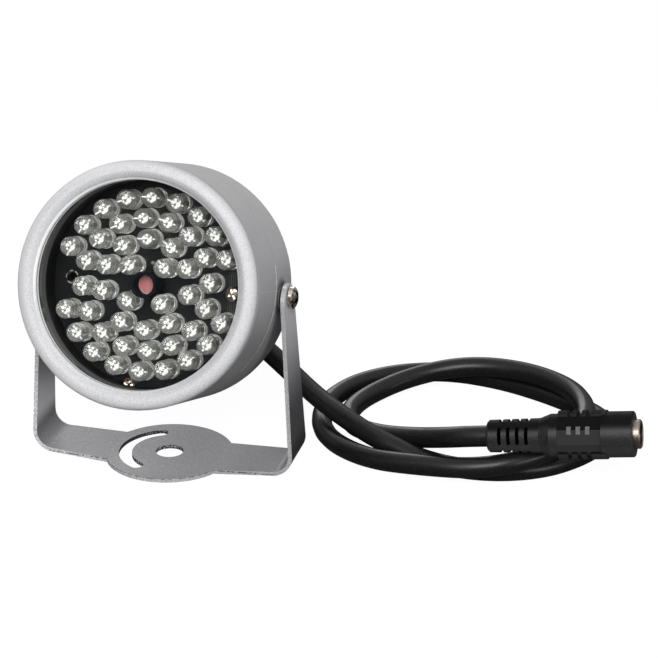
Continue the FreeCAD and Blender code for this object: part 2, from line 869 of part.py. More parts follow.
def main():
    os.makedirs("parts", exist_ok=True)
    head_parts = {
        "front_housing": front_housing(),
        "rear_cover": rear_cover(),
        "housing_seal": housing_seal(),
        "glass_gasket": glass_gasket(),
        "front_glass": front_glass(),
        "spacer_ring": spacer_ring(),
        "led_board": led_board(),
        "emitters_outer": ring_of_emitters(outer_ring_radius, outer_angles()),
        "emitters_second": ring_of_emitters(second_ring_radius, second_angles()),
        "emitters_third": ring_of_emitters(third_ring_radius, third_angles()),
        "emitters_inner": ring_of_emitters(inner_ring_radius, inner_angles()),
        "photocell_sleeve": photocell_sleeve(),
        "photocell": photocell(),
        "sensor_resistor": sensor_resistor(),
        "drive_transistor": drive_transistor(),
        "ballast_resistors": ballast_resistors(),
        "board_screws": board_screws(),
        "housing_screws": housing_screws(),
        "pivot_screw_left": pivot_screw(-1),
        "pivot_screw_right": pivot_screw(1),
        "pivot_spacer_left": pivot_spacer(-1),
        "pivot_spacer_right": pivot_spacer(1),
        "cable_boot": cable_boot(),
        "cable_tie": cable_tie(),
        "cord_tail": cord_tail(),
        "lead_red": conductor(-1),
        "lead_black": conductor(1),
    }
    jack_parts = {
        "jack_body": jack_body(),
        "jack_collar": jack_collar(),
        "jack_insulator": jack_insulator(),
        "jack_pin": jack_pin(),
    }
    save("bracket", bracket())
    for name, shape in head_parts.items():
        save(name, put(shape, head_place))
    save("cord_flex", cord_flex())
    save("cord_run", cord_run())
    for name, shape in jack_parts.items():
        save(name, put(shape, jack_place))


main()
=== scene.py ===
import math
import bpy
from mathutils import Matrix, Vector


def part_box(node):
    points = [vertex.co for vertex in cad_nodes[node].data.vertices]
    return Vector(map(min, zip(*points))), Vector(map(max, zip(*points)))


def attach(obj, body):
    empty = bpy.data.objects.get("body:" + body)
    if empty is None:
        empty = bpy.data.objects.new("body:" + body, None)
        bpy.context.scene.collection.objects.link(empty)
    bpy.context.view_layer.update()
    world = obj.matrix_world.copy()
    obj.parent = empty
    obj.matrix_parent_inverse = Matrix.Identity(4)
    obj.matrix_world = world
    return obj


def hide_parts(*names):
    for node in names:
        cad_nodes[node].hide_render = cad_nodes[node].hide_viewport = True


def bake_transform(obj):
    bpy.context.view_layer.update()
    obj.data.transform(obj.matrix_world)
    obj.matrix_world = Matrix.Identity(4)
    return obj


bl_info = {
    "name": "Infrared Illuminator",
    "version": (1, 0, 0),
    "blender": (4, 5, 0),
    "location": "3D Viewport > Sidebar > Illuminator",
    "description": "Dresses a packed infrared lamp with its emitters, lead, finishes and a plain studio",
    "category": "Object",
}

import bpy
from mathutils import Matrix, Vector

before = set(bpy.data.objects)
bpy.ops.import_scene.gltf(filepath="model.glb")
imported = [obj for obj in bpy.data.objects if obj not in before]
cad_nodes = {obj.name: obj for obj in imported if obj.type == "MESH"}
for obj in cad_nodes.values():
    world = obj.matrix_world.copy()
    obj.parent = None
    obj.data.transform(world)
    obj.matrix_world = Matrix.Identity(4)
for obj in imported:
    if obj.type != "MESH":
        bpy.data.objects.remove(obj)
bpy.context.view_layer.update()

MM = 0.001

# The camera's place and axes in metres, fitted to the photo.
CAMERA_LENS = 125.84
CAMERA_PLACE = Vector((0.165169, -0.497199, 0.251383))
CAMERA_RIGHT = Vector((0.97044, 0.24133, -0.00086))
CAMERA_UP = Vector((-0.09190, 0.37283, 0.92334))
CAMERA_BACK = Vector((0.22315, -0.89597, 0.38399))

# The bracket: its sheet, the circle round the foot's openings and where the arms begin.
SHEET = 1.0 * MM
OPENINGS_RADIUS = 13.4 * MM
ARM_START = 30.3 * MM

# The lamp head's own frame: X along the tilt axis, Y up its face, Z out of its window.
TILT = math.radians(19.3)
HEAD_UP = Vector((0, math.sin(TILT), math.cos(TILT)))
HEAD_FORWARD = Vector((0, -math.cos(TILT), math.sin(TILT)))
PIVOT = Vector((0, 0, 45.5 * MM))
HEAD_CENTRE = PIVOT + HEAD_UP * 0.8 * MM

# Depths, heights and radii in that frame.
INSIDE_BACK = -8.95 * MM
SEAM = 4.8 * MM
BOARD_FRONT = 9.9 * MM
INSIDE_FRONT = 10.55 * MM
SPACER_FRONT = 16.0 * MM
SIDE_FRONT = 20.6 * MM
LIP_BACK = 21.2 * MM
PARTING_HEIGHT = 0.8 * MM
DARK_SEAM_HEIGHT = 7 * MM
LIP_RADIUS = 24.8 * MM
LIP_CREST = 26.8 * MM
INSIDE_RADIUS = 27.2 * MM
SIDE_RADIUS = 27.5 * MM
BARE_HOLE = Vector((-20.4, 0, 9.9)) * MM
BARE_HOLE_RADIUS = 1.5 * MM

# The jack's own frame: Z from the lead's end to the socket.
JACK_RISE = math.radians(7.3)
JACK_ROLL = math.radians(-36)
JACK_FORWARD = Vector((math.cos(JACK_RISE), 0, math.sin(JACK_RISE)))
JACK_UP = Vector((-math.sin(JACK_RISE), 0, math.cos(JACK_RISE)))
JACK_START = Vector((80.6, 2.4, 13.1)) * MM

# Places along the jack, and radii from its axis.
RELIEF_END = 12 * MM
SMOOTH_START = 17.5 * MM
SMOOTH_END = 28.1 * MM
SLOT_RADIUS = 3.45 * MM
SOCKET_RADIUS = 2.95 * MM

# The inlays on the jack's sides in millimetres: places along it, distances from its axis and half
# sizes.
MARKS = [20.4, 22.65, 24.9]
MARK_FLOOR, MARK_FACE = 4.45, 4.95
MARK_HALF_WIDTH, MARK_HALF_LENGTH = 1.0, 0.57

# The lead's route in millimetres, from the lamp's rear to the jack.
LEAD_RADIUS = 2.6
LEAD_EXIT = HEAD_CENTRE / MM - HEAD_UP * 7 - HEAD_FORWARD * 18
LEAD_ROUTE = [
    LEAD_EXIT, LEAD_EXIT - HEAD_FORWARD * 9.5,
    (4.2, 31.9, 25.2), (12.4, 35.6, 18.3), (21.6, 32.3, 12.7), (31.2, 24.3, 9.4),
    (40.2, 16.8, 7.9), (51, 9.8, 5.7), (64.5, 5.8, 2.7), (79, 3.8, 2.6), (92.5, 8.5, 2.6),
    (101.5, 18.5, 2.6), (106.2, 30, 2.6), (104.2, 41.5, 2.6), (96, 48.2, 2.6), (85.5, 54.8, 2.6),
    (73, 60.2, 2.6), (58.5, 62.3, 2.6), (44.5, 57, 2.6), (34.5, 45.5, 2.6), (31.5, 30, 2.6),
    (36.5, 14, 2.6), (49.5, 3.5, 3), (64, -0.3, 4.6), (79, -1.6, 5.9), (91.5, 4, 7.6),
    (99.5, 16, 8.2), (101.3, 32, 8.2), (95, 46.8, 8), (81.5, 55.5, 7.9), (65.5, 57.2, 7.3),
    (51.5, 51.8, 5), (41.6, 41.5, 2.8), (38.7, 30.5, 2.6), (42, 21.5, 2.8), (50.5, 16.8, 3.4),
    (60.5, 12.9, 5.6), (69.5, 4.5, 10.5), (75.5, 2.4, 12.45), JACK_START / MM,
]

# Each ring of emitters: its radius in millimetres and the angles of its emitters.
EMITTER_RINGS = {
    "emitters_outer": (20.75, [middle - 68.8 + 17.2 * i for middle in (90, 270) for i in range(9)]),
    "emitters_second": (15.8, [6 + 22.5 * i for i in range(16)]),
    "emitters_third": (10.85, [-8.3 + 33.4 * i for i in range(7)] + [239.5 + 33.4 * i for i in range(3)]),
    "emitters_inner": (6.05, [45 + 90 * i for i in range(4)]),
}

# Bright and dark spots in an emitter's cup, the bright ones painted highlights in its silver: x, y and radius
# in millimetres.
CUP_SPOTS = [
    (-0.56, 0.16, 0.21, "bright"), (-0.14, 0.55, 0.2, "bright"), (-0.02, -0.56, 0.21, "bright"),
    (0.32, -0.16, 0.36, "bright"), (0.58, 0.3, 0.17, "bright"), (-0.5, -0.36, 0.12, "bright"),
    (-0.26, -0.22, 0.15, "dark"), (0.2, 0.36, 0.12, "dark"), (-0.14, 0.12, 0.09, "dark"),
]

# The point that the softboxes face, then each one's place, its width and height, all in metres, and
# the setting that holds its power.
LIGHT_AIM = Vector((0.03, 0, 0.03))
SOFTBOXES = {
    "Softbox front": ((0.16, -0.92, 0.706), (0.7, 0.6), "key"),
    "Softbox side": ((1.02, -0.575, 0.155), (0.6, 0.28), "side"),
    "Softbox rear": ((-0.35, 1.0, 0.4), (0.5, 0.5), "rear"),
}

# The floor lies a hair below the foot, so that the two faces don't fight.
FLOOR_SIZE = 8
FLOOR_HEIGHT = -0.05 * MM


def axes(x_axis, y_axis, z_axis, origin):
    matrix = Matrix((x_axis, y_axis, z_axis)).transposed().to_4x4()
    matrix.translation = origin
    return matrix


HEAD = axes(Vector((1, 0, 0)), HEAD_UP, HEAD_FORWARD, HEAD_CENTRE)
JACK = axes(Vector((0, 1, 0)), JACK_UP, JACK_FORWARD, JACK_START) @ Matrix.Rotation(JACK_ROLL, 4, "Z")


def linear(text):
    """An sRGB hex colour as the linear colour that nodes take."""
    values = [int(text[i:i + 2], 16) / 255 for i in (0, 2, 4)]
    return tuple(v / 12.92 if v <= 0.04045 else ((v + 0.055) / 1.055) ** 2.4 for v in values) + (1.0,)


def colour(name, text, description):
    return bpy.props.FloatVectorProperty(name=name, description=description, subtype="COLOR", size=4,
                                         min=0, max=1, default=linear(text))


def length(name, millimetres, description):
    return bpy.props.FloatProperty(name=name, description=description, unit="LENGTH", min=0,
                                   default=millimetres * MM)


def number(name, value, description):
    return bpy.props.FloatProperty(name=name, description=description, min=0, default=value)


class EmitterSettings(bpy.types.PropertyGroup):
    radius: length("Radius", 2.42, "Radius of an emitter's clear body")
    height: length("Height", 8.5, "Height of an emitter above the board")
    cup_radius: length("Cup Radius", 0.8, "Radius of the bright cup that holds the die")
    cup_depth: length("Cup Depth", 2.7, "Distance from the dome's tip down to the cup's rim")
    epoxy: colour("Epoxy", "F2F0EC", "Colour of the clear epoxy")
    silver: colour("Silver", "FAFAF6", "Silver plate on the cup and the posts")


class FinishSettings(bpy.types.PropertyGroup):
    bracket: colour("Bracket", "929295", "Silver powder coat on the bracket")
    bracket_edge: colour("Bracket Edge", "D6D6D8", "Cut edge of the bracket's sheet")
    housing: colour("Housing", "DADADC", "Silver powder coat on the lamp body")
    lead: colour("Lead", "19191A", "Black sheath of the lead")
    jack: colour("Jack", "262627", "Black moulding of the jack")
    nickel: colour("Nickel", "BEB2A6", "Nickel plate on screws and the jack's collar")
    sensor: colour("Sensor", "D27676", "Light-sensitive track of the sensor")


class StageSettings(bpy.types.PropertyGroup):
    key: number("Key", 11.8, "Power of the softbox in front")
    side: number("Side", 3.3, "Power of the low softbox at the right")
    rear: number("Rear", 2.0, "Power of the softbox behind")
    floor: number("Floor", 0.95, "Brightness of the floor as the camera sees it")
    ambient: number("Ambient", 0.12, "Strength of the room's light")
    mirrored: number("Mirrored", 0.9, "Strength of the room as smooth surfaces mirror it")


# shaping

def deselect():
    if bpy.context.object and bpy.context.object.mode != "OBJECT":
        bpy.ops.object.mode_set(mode="OBJECT")
    bpy.ops.object.select_all(action="DESELECT")


def turned(name, outline, segments=32):
    """A shape turned about Z, its outline given in millimetres as (radius, height) steps that
    start on its lowest face and end where it closes."""
    deselect()
    radius, height = outline[0]
    bpy.ops.mesh.primitive_circle_add(vertices=segments, radius=radius * MM, fill_type="NGON")
    shape = bpy.context.object
    shape.name = name
    bpy.ops.object.mode_set(mode="EDIT")
    bpy.ops.mesh.select_all(action="SELECT")
    bpy.ops.transform.translate(value=(0, 0, height * MM))
    for next_radius, next_height in outline[1:]:
        bpy.ops.mesh.extrude_region_move(
            TRANSFORM_OT_translate={"value": (0, 0, (next_height - height) * MM)})
        if next_radius == 0:
            bpy.ops.mesh.merge(type="CENTER")
            break
        share = next_radius / radius
        bpy.ops.transform.resize(value=(share, share, 1), center_override=(0, 0, next_height * MM))
        radius, height = next_radius, next_height
    bpy.ops.mesh.select_all(action="SELECT")
    bpy.ops.mesh.normals_make_consistent(inside=False)
    bpy.ops.object.mode_set(mode="OBJECT")
    return shape


def slab(name, low, high, bevel):
    """A box between two corners in millimetres, its edges rounded."""
    deselect()
    bpy.ops.mesh.primitive_cube_add(size=1)
    shape = bpy.context.object
    shape.name = name
    low, high = Vector(low) * MM, Vector(high) * MM
    bpy.ops.object.mode_set(mode="EDIT")
    bpy.ops.mesh.select_all(action="SELECT")
    bpy.ops.transform.resize(value=high - low, center_override=(0, 0, 0))
    bpy.ops.transform.translate(value=(low + high) / 2)
    bpy.ops.mesh.bevel(offset=bevel * MM, segments=2, affect="EDGES")
    bpy.ops.object.mode_set(mode="OBJECT")
    return shape


def smoothed(shape, degrees):
    deselect()
    shape.select_set(True)
    bpy.context.view_layer.objects.active = shape
    bpy.ops.object.shade_smooth_by_angle(angle=math.radians(degrees))
    return shape


def painted(shape, made):
    shape.data.materials.clear()
    shape.data.materials.append(made)
    return shape


def moved(shape, matrix):
    shape.data.transform(matrix)
    return shape


def copied(shape, matrix):
    """A copy with a mesh of its own, put in place."""
    twin = shape.copy()
    twin.data = shape.data.copy()
    bpy.context.collection.objects.link(twin)
    return moved(twin, matrix)


def joined(shapes, name):
    deselect()
    for shape in shapes:
        shape.select_set(True)
    bpy.context.view_layer.objects.active = shapes[0]
    bpy.ops.object.join()
    whole = bpy.context.object
    whole.name = name
    return whole


# nodes of a finish

def new_material(name):
    made = bpy.data.materials.new(name)
    made.use_nodes = True
    made.node_tree.nodes.clear()
    return made


def add(made, kind, inputs=None, **settings):
    """Adds a node. A value in `inputs` is set on the socket, and another node's output is linked."""
    node = made.node_tree.nodes.new(kind)
    for key, value in settings.items():
        setattr(node, key, value)
    for key, value in (inputs or {}).items():
        if isinstance(value, bpy.types.NodeSocket):
            made.node_tree.links.new(value, node.inputs[key])
        else:
            node.inputs[key].default_value = value
    return node


def link(made, output, shader, name):
    made.node_tree.links.new(output, shader.inputs[name])


def close(made, shader):
    add(made, "ShaderNodeOutputMaterial", {"Surface": shader.outputs[0]})
    return made


def dress(made, *names):
    """Gives CAD nodes a finish through their own material slots."""
    for name in names:
        for slot in cad_nodes[name].material_slots:
            slot.material = made


def object_place(made):
    return add(made, "ShaderNodeTexCoord").outputs["Object"]


def in_frame(made, where, matrix):
    """A finish's coordinates in the lamp head's or the jack's own frame."""
    inverse = matrix.inverted()
    return add(made, "ShaderNodeMapping", {"Vector": where, "Location": inverse.translation,
                                           "Rotation": inverse.to_euler()}).outputs["Vector"]


def split(made, vector):
    return add(made, "ShaderNodeSeparateXYZ", {0: vector}).outputs


def surface_normal(made):
    return split(made, add(made, "ShaderNodeNewGeometry").outputs["Normal"])


def maths(made, operation, *values):
    return add(made, "ShaderNodeMath", dict(enumerate(values)), operation=operation).outputs[0]


def vector_maths(made, operation, *values):
    return add(made, "ShaderNodeVectorMath", dict(enumerate(values)), operation=operation).outputs


def times(made, first, second):
    return maths(made, "MULTIPLY", first, second)


def near(made, value, centre, reach):
    """1 where a number is within reach of the centre, otherwise 0."""
    return maths(made, "COMPARE", value, centre, reach)


def within(made, value, low, high):
    """1 where a number is from low to high, otherwise 0."""
    return near(made, value, (low + high) / 2, (high - low) / 2)


def beyond(made, value, limit):
    """1 where a number is above the limit, otherwise 0."""
    return maths(made, "GREATER_THAN", value, limit)


def below(made, value, limit):
    """1 where a number is under the limit, otherwise 0."""
    return maths(made, "LESS_THAN", value, limit)


def mapped(made, value, start, end, low=0.0, high=1.0, way="LINEAR"):
    """Carries a number from one range over to another."""
    return add(made, "ShaderNodeMapRange", {
        "Value": value, "From Min": start, "From Max": end, "To Min": low, "To Max": high},
        interpolation_type=way).outputs["Result"]


def eased(made, value, start, end, top=1.0):
    """Eases from 0 to a top value while a number goes from start to end."""
    return mapped(made, value, start, end, 0.0, top, "SMOOTHSTEP")


def ranged(made, value, start, end, top=1.0):
    """Eases in the same way along a length, its start and end given in millimetres."""
    return eased(made, value, start * MM, end * MM, top)


def between(made, amount, low, high):
    """A number that goes from low to high as the amount goes from 0 to 1."""
    return add(made, "ShaderNodeMix", {0: amount, 2: low, 3: high}, data_type="FLOAT").outputs[0]


def from_axis(made, place, mask=(1, 1, 0)):
    """The distance from an axis through the origin, from Z unless the mask says otherwise."""
    across = vector_maths(made, "MULTIPLY", place, mask)[0]
    return vector_maths(made, "LENGTH", across)["Value"]


def from_tilt_axis(made, where):
    beside = vector_maths(made, "SUBTRACT", where, PIVOT)[0]
    return from_axis(made, beside, (0, 1, 1))


def noise_of(made, where, millimetres, detail=2.0, roughness=0.5):
    return add(made, "ShaderNodeTexNoise", {"Vector": where, "Scale": 1 / (millimetres * MM),
                                            "Detail": detail, "Roughness": roughness}).outputs["Fac"]


def cells_of(made, where, millimetres, randomness=1.0):
    """The distance from the middle of the nearest cell, as a part of the cells' size."""
    return add(made, "ShaderNodeTexVoronoi", {"Vector": where, "Scale": 1 / (millimetres * MM),
                                              "Randomness": randomness}).outputs["Distance"]


def relief_of(made, height, strength, millimetres):
    bump = add(made, "ShaderNodeBump", {"Height": height, "Strength": strength, "Distance": millimetres * MM})
    return bump.outputs["Normal"]


def shade(tone, factor):
    return tuple(min(1.0, value * factor) for value in tone[:3]) + (1.0,)


def ramp_of(made, factor, stops):
    ramp = add(made, "ShaderNodeValToRGB", {"Fac": factor})
    first, last = ramp.color_ramp.elements
    first.position, first.color = stops[0]
    last.position, last.color = stops[-1]
    for position, tone in stops[1:-1]:
        ramp.color_ramp.elements.new(position).color = tone
    return ramp.outputs["Color"]


def over(made, amount, under, top):
    """One colour laid over another by an amount."""
    return add(made, "ShaderNodeMix", {0: amount, 6: under, 7: top}, data_type="RGBA").outputs[2]


def layered(made, coat, layers):
    """A colour with further ones laid over it in turn, each given with its amount."""
    for amount, tone in layers:
        coat = over(made, amount, coat, tone)
    return coat


def seen(made):
    """1 for what the camera sees, straight or through glass, otherwise 0."""
    path = add(made, "ShaderNodeLightPath").outputs
    return maths(made, "MAXIMUM", path["Is Camera Ray"], path["Is Transmission Ray"])


# finishes

def powder_coat(name, tone, grain, contrast, metallic, roughness):
    """Powder coat with metal flake, sprayed and baked: a matt silver with fine bright and dark
    specks and a slight orange peel that breaks up its highlights."""
    made = new_material(name)
    where = object_place(made)
    flake = noise_of(made, where, grain, 3.0, 0.7)
    specks = ramp_of(made, flake, [
        (0.3, shade(tone, 1 - contrast)), (0.5, tone), (0.72, shade(tone, 1 + contrast))])
    drift = ramp_of(made, noise_of(made, where, 22), [(0.3, (0.95, 0.95, 0.96, 1)), (0.7, (1, 1, 1, 1))])
    coat = add(made, "ShaderNodeMix", {"Factor": 1.0, 6: specks, 7: drift},
               data_type="RGBA", blend_type="MULTIPLY").outputs[2]
    shader = add(made, "ShaderNodeBsdfPrincipled", {
        "Base Color": coat, "Metallic": metallic, "Roughness": roughness,
        "Specular IOR Level": 0.3, "Normal": relief_of(made, flake, 0.6, 0.05)})
    return made, where, coat, shader


def bracket_finish(settings):
    """Powder coat on punched sheet steel, with coarse sparkle. The arms are painted paler than the foot as
    painted light, and painted shade deepens the tone down their outer faces and a little where they curve
    into the foot; the foot's top is a little darker toward its right. The cut edges are painted palest at
    the left and darker at the right as light and shade, and have small dark chips, with a broken dark
    line along the foot's upper edge. The foot's openings have walls painted dark as shade, worn bright at
    the left."""
    made, where, coat, shader = powder_coat(
        "Powder coat on sheet steel", settings.bracket,
        grain=0.42, contrast=0.32, metallic=0.2, roughness=0.45)
    place, normal = split(made, where), surface_normal(made)
    out = maths(made, "ABSOLUTE", place["X"])
    level = maths(made, "ABSOLUTE", normal["Z"])
    across = maths(made, "ABSOLUTE", normal["Y"])
    on_arm = beyond(made, out, ARM_START)
    raised = ranged(made, place["Z"], 6, 11)
    on_foot = below(made, raised, 0.5)

    # Painted light: the arms' faces are painted paler. Painted shade: darker down the arms' outer faces and
    # where they curve into the foot.
    arm_painted_light = times(made, raised, ranged(made, out, 26, 31, 0.95))
    outward = times(made, beyond(made, times(made, normal["X"], place["X"]), 22.5 * MM), on_arm)
    outer_face_painted_shade = times(made, outward, ranged(made, place["Z"], 42, 16, 0.87))
    bend_painted_shade = times(made, eased(made, level, 1.0, 0.8, 0.16), ranged(made, place["Z"], 12, 4))
    foot_right = times(made, beyond(made, level, 0.97), ranged(made, place["X"], -9, 8, 0.34))
    faces = layered(made, coat, [
        (arm_painted_light, shade(settings.bracket, 2.75)), (outer_face_painted_shade, linear("161618")),
        (bend_painted_shade, linear("3C3C3E")), (foot_right, linear("3C3C3E"))])

    cut = settings.bracket_edge
    grain = eased(made, noise_of(made, where, 0.35, 2.0, 0.7), 0.4, 0.62, 0.75)
    chips = eased(made, cells_of(made, where, 0.55), 0.25, 0.1, 0.5)
    patchy = beyond(made, noise_of(made, where, 1.0, 3.0), 0.48)
    foot_rim = times(made, times(made, patchy, on_foot), near(made, place["Z"], SHEET, 0.15 * MM))
    # The walls of the foot's openings are painted dark as shade, with worn bright patches.
    opening = times(made, below(made, from_axis(made, where), OPENINGS_RADIUS), on_foot)
    worn = beyond(made, noise_of(made, where, 0.4), 0.54)
    worn = times(made, worn, ranged(made, place["X"], -12, -6, 0.85))
    # The cut edges are painted lighter at the left and darker at the right, as light and shade.
    edges = over(made, ranged(made, place["X"], -30, 20), shade(cut, 1.5), shade(cut, 0.8))
    edges = layered(made, edges, [
        (grain, shade(cut, 0.5)), (chips, shade(cut, 0.2)),
        (times(made, foot_rim, 0.8), linear("2A2A2C")),
        (opening, over(made, worn, linear("4C4C4E"), linear("DADADC")))])

    is_edge = between(made, on_arm, below(made, level, 0.5), beyond(made, across, 0.4))
    link(made, over(made, is_edge, faces, edges), shader, "Base Color")
    return close(made, shader)


def lip_relief(made, radius, under):
    """A crest round the lip, crisp in the light, and a rolled edge where the lip meets the window."""
    fall = mapped(made, radius, LIP_RADIUS, LIP_CREST, 0.3 * (LIP_RADIUS - LIP_CREST), 0.0)
    roll = mapped(made, radius, LIP_RADIUS + 0.05 * MM, LIP_RADIUS + 0.5 * MM, 0.4 * MM, 0.0)
    return add(made, "ShaderNodeBump", {"Height": maths(made, "ADD", fall, roll), "Strength": 1.0,
                                        "Distance": 1.0, "Normal": under}).outputs["Normal"]


def housing_finish(settings):
    """Powder coat on die-cast aluminium, finer and paler than the bracket's. The side is painted palest on
    top as painted light, and painted shade darkens it toward its lower half, its rear and the pivots;
    it has a faint parting line. The seam is a dark line on top and a rubbed, speckled one further down.
    The lip has a painted highlight along its inner edge and a band painted pale as light at the left of
    its outer part, and the window's wall is painted dark as shade, with a bright back edge. The casting
    is painted dark on the inside as shade."""
    made, where, coat, shader = powder_coat(
        "Powder coat on cast aluminium", settings.housing,
        grain=0.32, contrast=0.2, metallic=0.05, roughness=0.62)
    shader.inputs["Specular IOR Level"].default_value = 0.12
    place = in_frame(made, where, HEAD)
    radius = from_axis(made, place)
    across, height, depth = (split(made, place)[axis] for axis in "XYZ")

    # Painted light and shade on the side: paler on top, darker toward its lower half, its rear and round the
    # pivots.
    side = times(made, below(made, depth, SIDE_FRONT), beyond(made, radius, SIDE_RADIUS))
    cloudy = mapped(made, noise_of(made, where, 7), 0.35, 0.65, 0.84)
    lower = times(made, times(made, side, cloudy), ranged(made, height, 12, -15, 0.73))
    rear = times(made, times(made, side, ranged(made, height, 12, 0, 0.4)), ranged(made, depth, 18, -4))
    upper = times(made, side, ranged(made, height, 12, 27, 0.3))
    parting = times(made, side, near(made, height, PARTING_HEIGHT, 0.14 * MM))
    pivot_painted_shade = times(made, side, ranged(made, from_tilt_axis(made, where), 5.6, 3.4, 0.62))

    dark_seam = times(made, near(made, depth, SEAM, 0.3 * MM), beyond(made, height, DARK_SEAM_HEIGHT))
    bright_seam = times(made, near(made, depth, SEAM, 0.2 * MM), below(made, height, DARK_SEAM_HEIGHT))
    specks = times(made, bright_seam, beyond(made, noise_of(made, where, 0.8), 0.48))

    # Painted highlight along the lip's inner edge, painted light on its outer band at the left, painted shade
    # on the window's wall.
    lip_painted_highlight = times(made, near(made, radius, LIP_RADIUS + 0.25 * MM, 0.2 * MM),
                     beyond(made, depth, LIP_BACK + 1.6 * MM))
    lip_band_painted_light = times(made, ranged(made, radius, 27.6, 29.2, 0.8), ranged(made, across, 6, -14))
    at_window = near(made, radius, LIP_RADIUS, 0.12 * MM)
    wall = times(made, at_window, near(made, depth, LIP_BACK + 1.05 * MM, 0.2 * MM))
    back_edge = times(made, at_window, near(made, depth, LIP_BACK + 0.42 * MM, 0.44 * MM))
    # Painted shade: the casting's interior is painted near black.
    inside = times(made, below(made, radius, INSIDE_RADIUS), within(made, depth, INSIDE_BACK, INSIDE_FRONT))

    coat = layered(made, coat, [
        (lower, shade(settings.housing, 0.3)), (rear, shade(settings.housing, 0.3)),
        (upper, linear("FFFFFE")), (times(made, parting, 0.18), linear("F4F4F2")),
        (pivot_painted_shade, linear("3A3A3C")), (times(made, dark_seam, 0.6), linear("6A6A6C")),
        (times(made, lip_painted_highlight, ranged(made, height, -12, 4, 0.9)), linear("FCFCFA")),
        (times(made, lip_band_painted_light, beyond(made, depth, SIDE_FRONT)), linear("FFFFFE")),
        (wall, linear("5E5E60")), (maths(made, "MAXIMUM", back_edge, specks), linear("F4F4F2")),
        (inside, linear("1A1A1A"))])
    link(made, coat, shader, "Base Color")
    link(made, lip_relief(made, radius, shader.inputs["Normal"].links[0].from_socket), shader, "Normal")
    return close(made, shader)


def moulded_black(name, tone, grain, bump, roughness, sheen=0.2):
    """Black plastic or rubber from a mould, its fine grain showing in the highlights."""
    made = new_material(name)
    where = object_place(made)
    spark = noise_of(made, where, grain, 2.0, 0.6)
    dull = mapped(made, noise_of(made, where, 9), 0.3, 0.7, roughness - 0.05, roughness + 0.07)
    shader = add(made, "ShaderNodeBsdfPrincipled", {
        "Base Color": ramp_of(made, spark, [(0.35, shade(tone, 0.8)), (0.7, shade(tone, 1.3))]),
        "Roughness": dull, "Specular IOR Level": sheen, "Normal": relief_of(made, spark, 0.5, bump)})
    return close(made, shader)


def plated(name, tone, roughness):
    """Nickel plate on steel or brass: a warm bright metal with faint polishing haze. The jack's bore is
    painted dull and dark as shade, and the pivot screws' recesses carry painted highlights and painted
    shade in turn."""
    made = new_material(name)
    where = object_place(made)
    haze = noise_of(made, where, 0.8, 3.0)
    dull = mapped(made, haze, 0.3, 0.7, roughness - 0.06, roughness + 0.1)
    # Painted shade in the jack's bore, and painted highlights and shade in the pivot screws' recesses.
    bore = below(made, from_axis(made, in_frame(made, where, JACK)), SOCKET_RADIUS)
    outboard = beyond(made, maths(made, "ABSOLUTE", split(made, where)["X"]), 30 * MM)
    recess = times(made, ranged(made, from_tilt_axis(made, where), 3.0, 2.2), outboard)
    recess_highlights_and_shade = ramp_of(made, noise_of(made, where, 1.1), [
        (0.42, linear("1E1916")), (0.5, tone), (0.58, linear("FFFAF2"))])
    plate = layered(made, ramp_of(made, haze, [(0.3, shade(tone, 0.8)), (0.65, tone)]), [
        (times(made, bore, 0.9), linear("2A211B")), (recess, recess_highlights_and_shade)])
    shader = add(made, "ShaderNodeBsdfPrincipled", {"Base Color": plate, "Metallic": 1.0, "Roughness": dull})
    return close(made, shader)


def clear_epoxy(settings):
    """Cast clear epoxy: a glassy dome that magnifies the cup below it, with a pale line painted as a
    highlight where the dome starts and another above its collar."""
    made = new_material("Cast clear epoxy")
    depth = split(made, in_frame(made, object_place(made), HEAD))["Z"]
    # Painted highlights: pale lines round the lens where the dome starts and above its collar.
    dome_line = near(made, depth, BOARD_FRONT + settings.height - settings.radius, 0.1 * MM)
    collar_line = near(made, depth, BOARD_FRONT + 1.05 * MM, 0.12 * MM)
    lines = times(made, maths(made, "MAXIMUM", dome_line, collar_line), 0.6)
    glass = add(made, "ShaderNodeBsdfPrincipled", {
        "Base Color": settings.epoxy, "Roughness": 0.02, "IOR": 1.5, "Transmission Weight": 0.86})
    ring_painted_highlight = add(made, "ShaderNodeBsdfPrincipled", {"Base Color": linear("F0F0EE"), "Roughness": 0.4})
    lined = add(made, "ShaderNodeMixShader", {0: lines, 1: glass.outputs[0], 2: ring_painted_highlight.outputs[0]})
    through = add(made, "ShaderNodeBsdfTransparent", {"Color": (0.9, 0.9, 0.9, 1)})
    path = add(made, "ShaderNodeLightPath")
    mixed = add(made, "ShaderNodeMixShader", {0: path.outputs["Is Shadow Ray"], 1: lined.outputs[0],
                                              2: through.outputs[0]})
    return close(made, mixed)


def silver_plate(settings):
    """Bright silver plate on stamped copper, matt enough to light up as a whole under the dome."""
    made = new_material("Silver plate on copper")
    stir = noise_of(made, object_place(made), 0.2)
    tint = ramp_of(made, stir, [(0.3, shade(settings.silver, 0.88)), (0.6, settings.silver)])
    shader = add(made, "ShaderNodeBsdfPrincipled", {"Base Color": tint, "Metallic": 0.2, "Roughness": 0.4})
    return close(made, shader)


def float_glass():
    """Clear float glass: see-through, with a weak mirror on its face."""
    made = new_material("Clear float glass")
    through = add(made, "ShaderNodeBsdfTransparent", {"Color": (0.97, 0.98, 0.98, 1)})
    mirror = add(made, "ShaderNodeBsdfGlossy", {"Color": (0.9, 0.9, 0.9, 1), "Roughness": 0.03})
    fresnel = add(made, "ShaderNodeFresnel", {"IOR": 1.14})
    mixed = add(made, "ShaderNodeMixShader", {0: fresnel.outputs[0], 1: through.outputs[0],
                                              2: mirror.outputs[0]})
    return close(made, mixed)


